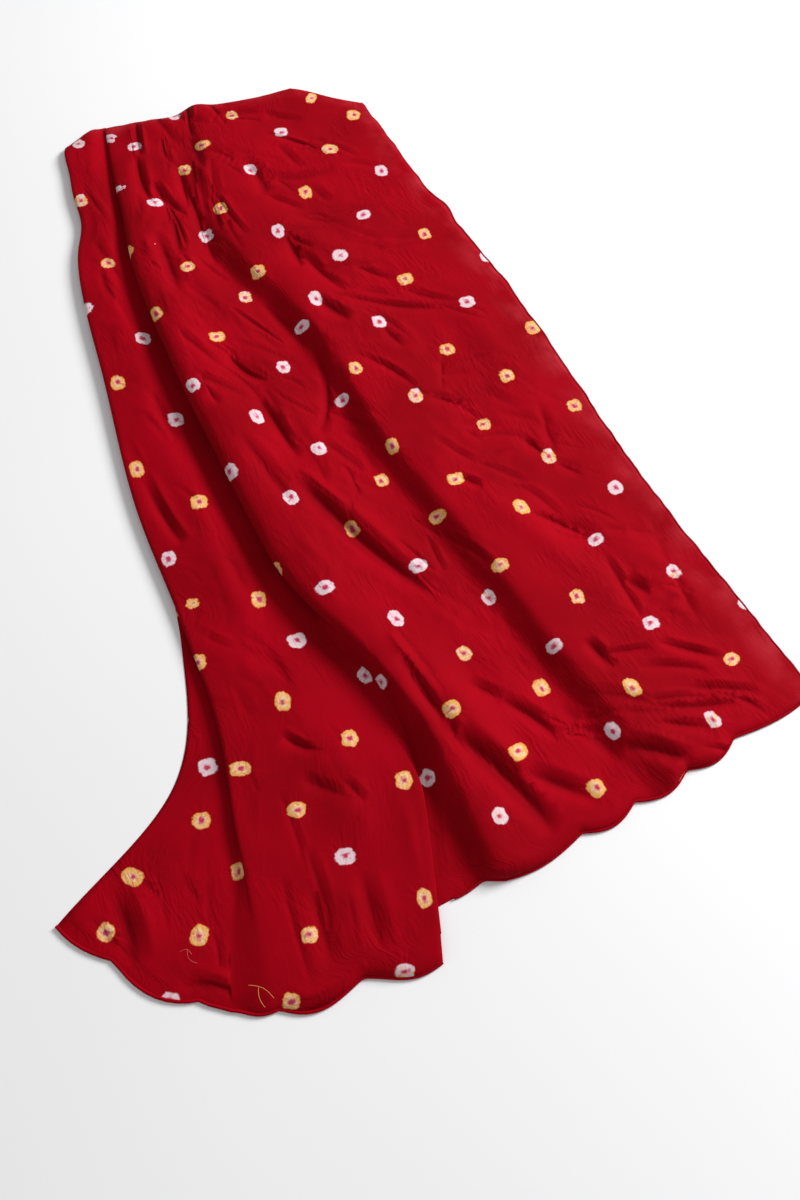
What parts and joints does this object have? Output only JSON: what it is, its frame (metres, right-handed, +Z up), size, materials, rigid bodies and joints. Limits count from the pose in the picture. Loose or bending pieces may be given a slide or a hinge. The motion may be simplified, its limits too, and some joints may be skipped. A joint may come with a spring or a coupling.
{
  "type": "tie-dyed bandhani cloth",
  "caption": "Thin red tie-dyed cloth lying in loose folds, with a tall soft ridge down its length, a lapped pleat, a flared corner and a scalloped hem.",
  "frame": {"origin": "on the surface the cloth lies on, below the middle of its outline", "axes": "+Y along the cloth from its scalloped hem to its turned-down top edge, +Z up from the surface"},
  "size_m": [0.7627, 1.0415, 0.0262],
  "materials": {
    "cloth": "matte tie-dyed cotton"
  },
  "bodies": {
    "root": {"cloth": "cloth"}
  },
  "joints": []
}
